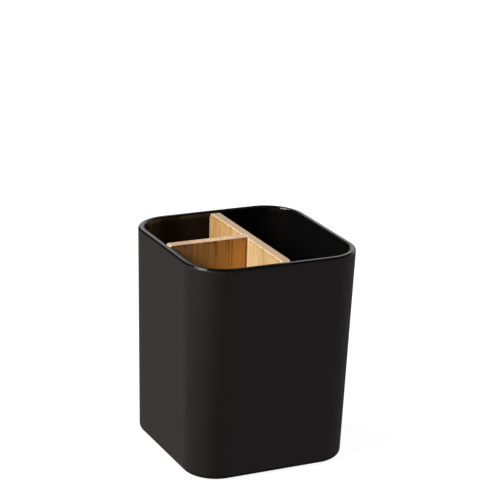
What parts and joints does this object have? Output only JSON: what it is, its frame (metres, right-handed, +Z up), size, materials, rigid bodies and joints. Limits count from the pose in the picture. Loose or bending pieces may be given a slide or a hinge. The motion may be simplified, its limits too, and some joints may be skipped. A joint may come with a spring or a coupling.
{
  "type": "toothbrush holder",
  "caption": "Square moulded cup with rounded corners and a wooden divider that lifts out, making one deep and two small compartments for toothbrushes and toothpaste.",
  "frame": {"origin": "middle of the surface that the pads stand on, under the middle of the cup", "axes": "+Z up, -Y towards the front, +X to the right, where the full-depth compartment is"},
  "size_m": [0.085, 0.085, 0.103],
  "materials": {
    "cup_plastic": "fine matte texture outside, glossy inside and on the rim",
    "bamboo": "satin bamboo with upright grain",
    "pad_rubber": "soft matte"
  },
  "bodies": {
    "cup_body": {"cup": "cup_plastic", "pad_front_left": "pad_rubber", "pad_front_right": "pad_rubber", "pad_back_left": "pad_rubber", "pad_back_right": "pad_rubber"},
    "divider": {"long_panel": "bamboo", "short_panel": "bamboo"}
  },
  "joints": [
    {"name": "divider_lift", "type": "slide", "parent": "cup_body", "child": "divider", "axis": [0, 0, 1], "range_m": [0, 0.11]}
  ]
}
